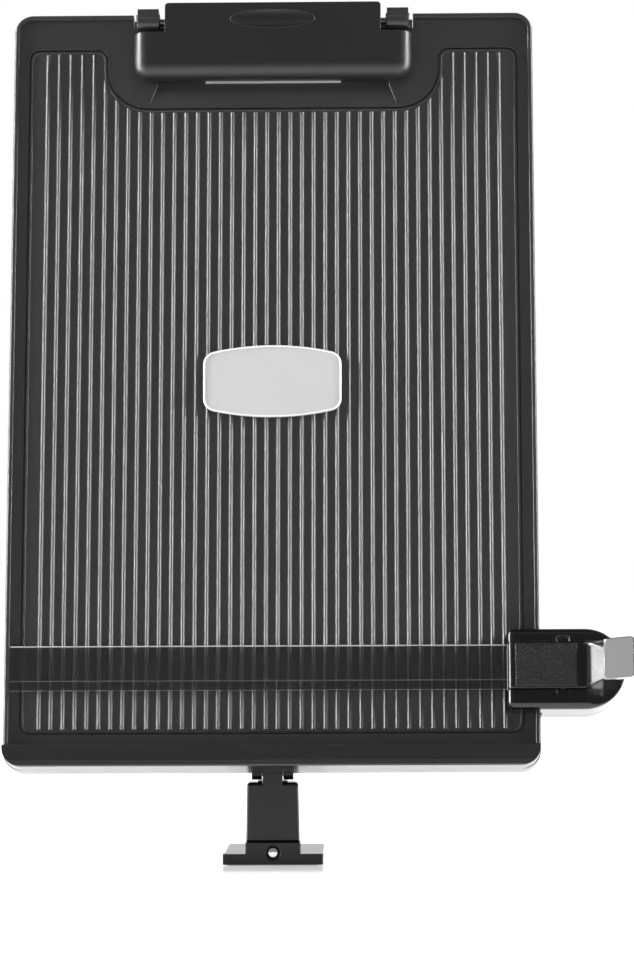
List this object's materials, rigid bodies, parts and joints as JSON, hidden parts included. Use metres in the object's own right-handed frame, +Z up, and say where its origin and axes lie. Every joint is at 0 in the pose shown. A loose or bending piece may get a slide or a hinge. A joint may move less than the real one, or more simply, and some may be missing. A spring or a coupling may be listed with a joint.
{
  "type": "copy holder with line guide",
  "caption": "Desk copy holder: ribbed board on a tilting foot, sprung paper clip, ledge, and a clear line guide on a sliding carriage with a release lever.",
  "frame": {"origin": "centre of the foot's underside", "axes": "+Z up, the board's front faces -Y, +X to the right seen from the front"},
  "size_m": [0.2629, 0.108, 0.3685],
  "materials": {
    "board_black": "moulded satin plastic with a fine sheen",
    "panel_black": "moulded plastic with a fine grain, ribs polished at their crests",
    "clip_black": "semi-gloss moulded plastic",
    "slider_gloss": "glossy moulded plastic",
    "grained_rubber": "leather-grained soft pad",
    "soft_rubber": "plain dull rubber",
    "smoked_clear": "clear smoked acrylic with polished edges",
    "label_grey": "satin pale grey, bare",
    "pale_vinyl": "pale flexible vinyl",
    "bright_chrome": "bright plated",
    "zinc_steel": "zinc-plated steel",
    "washer_fibre": "fibre washer",
    "stand_black": "black satin paint on steel"
  },
  "bodies": {
    "stand": {"arm": "stand_black", "foot_base": "stand_black", "foot_pad": "soft_rubber", "foot_screw": "bright_chrome"},
    "board": {"front_frame": "board_black", "ribbed_panel": "panel_black", "back_cover": "board_black", "cover_screws": "zinc_steel", "paper_ledge": "board_black", "label_plate": "label_grey", "clip_bracket": "board_black", "clip_pin": "zinc_steel", "clip_springs": "zinc_steel", "pivot_bracket": "stand_black", "bracket_screws": "zinc_steel", "tilt_bolt": "zinc_steel", "tilt_nut": "zinc_steel", "friction_washers": "washer_fibre"},
    "clip": {"clip_flap": "clip_black", "clip_grip": "pale_vinyl"},
    "slider": {"slider_front": "slider_gloss", "slider_back": "slider_gloss", "slider_screws": "zinc_steel", "line_guide": "smoked_clear", "lever_pin": "zinc_steel", "lever_spring": "zinc_steel"},
    "lever": {"release_lever": "slider_gloss", "lever_pad": "grained_rubber", "lever_tail": "bright_chrome", "brake_shoe": "soft_rubber"}
  },
  "joints": [
    {"name": "board_tilt", "type": "hinge", "parent": "stand", "child": "board", "pos_m": [0, -0.0205, 0.042], "axis": [-1, 0, 0], "range_deg": [-13.4, 35]},
    {"name": "guide_slide", "type": "slide", "parent": "board", "child": "slider", "axis": [0, 0.2317, 0.9728], "range_m": [-0.0135, 0.242]},
    {"name": "lever_press", "type": "hinge", "parent": "slider", "child": "lever", "pos_m": [0.1215, -0.03775, 0.08353], "axis": [0, 0.2317, 0.9728], "range_deg": [0, 8], "stiffness_Nm_per_rad": 0.02, "springref_deg": -5.73, "deforming": ["lever_spring"]},
    {"name": "clip_open", "type": "hinge", "parent": "board", "child": "clip", "pos_m": [0, 0.03311, 0.36024], "axis": [-1, 0, 0], "range_deg": [0, 25], "stiffness_Nm_per_rad": 0.03, "springref_deg": -17.19, "deforming": ["clip_springs"]}
  ]
}
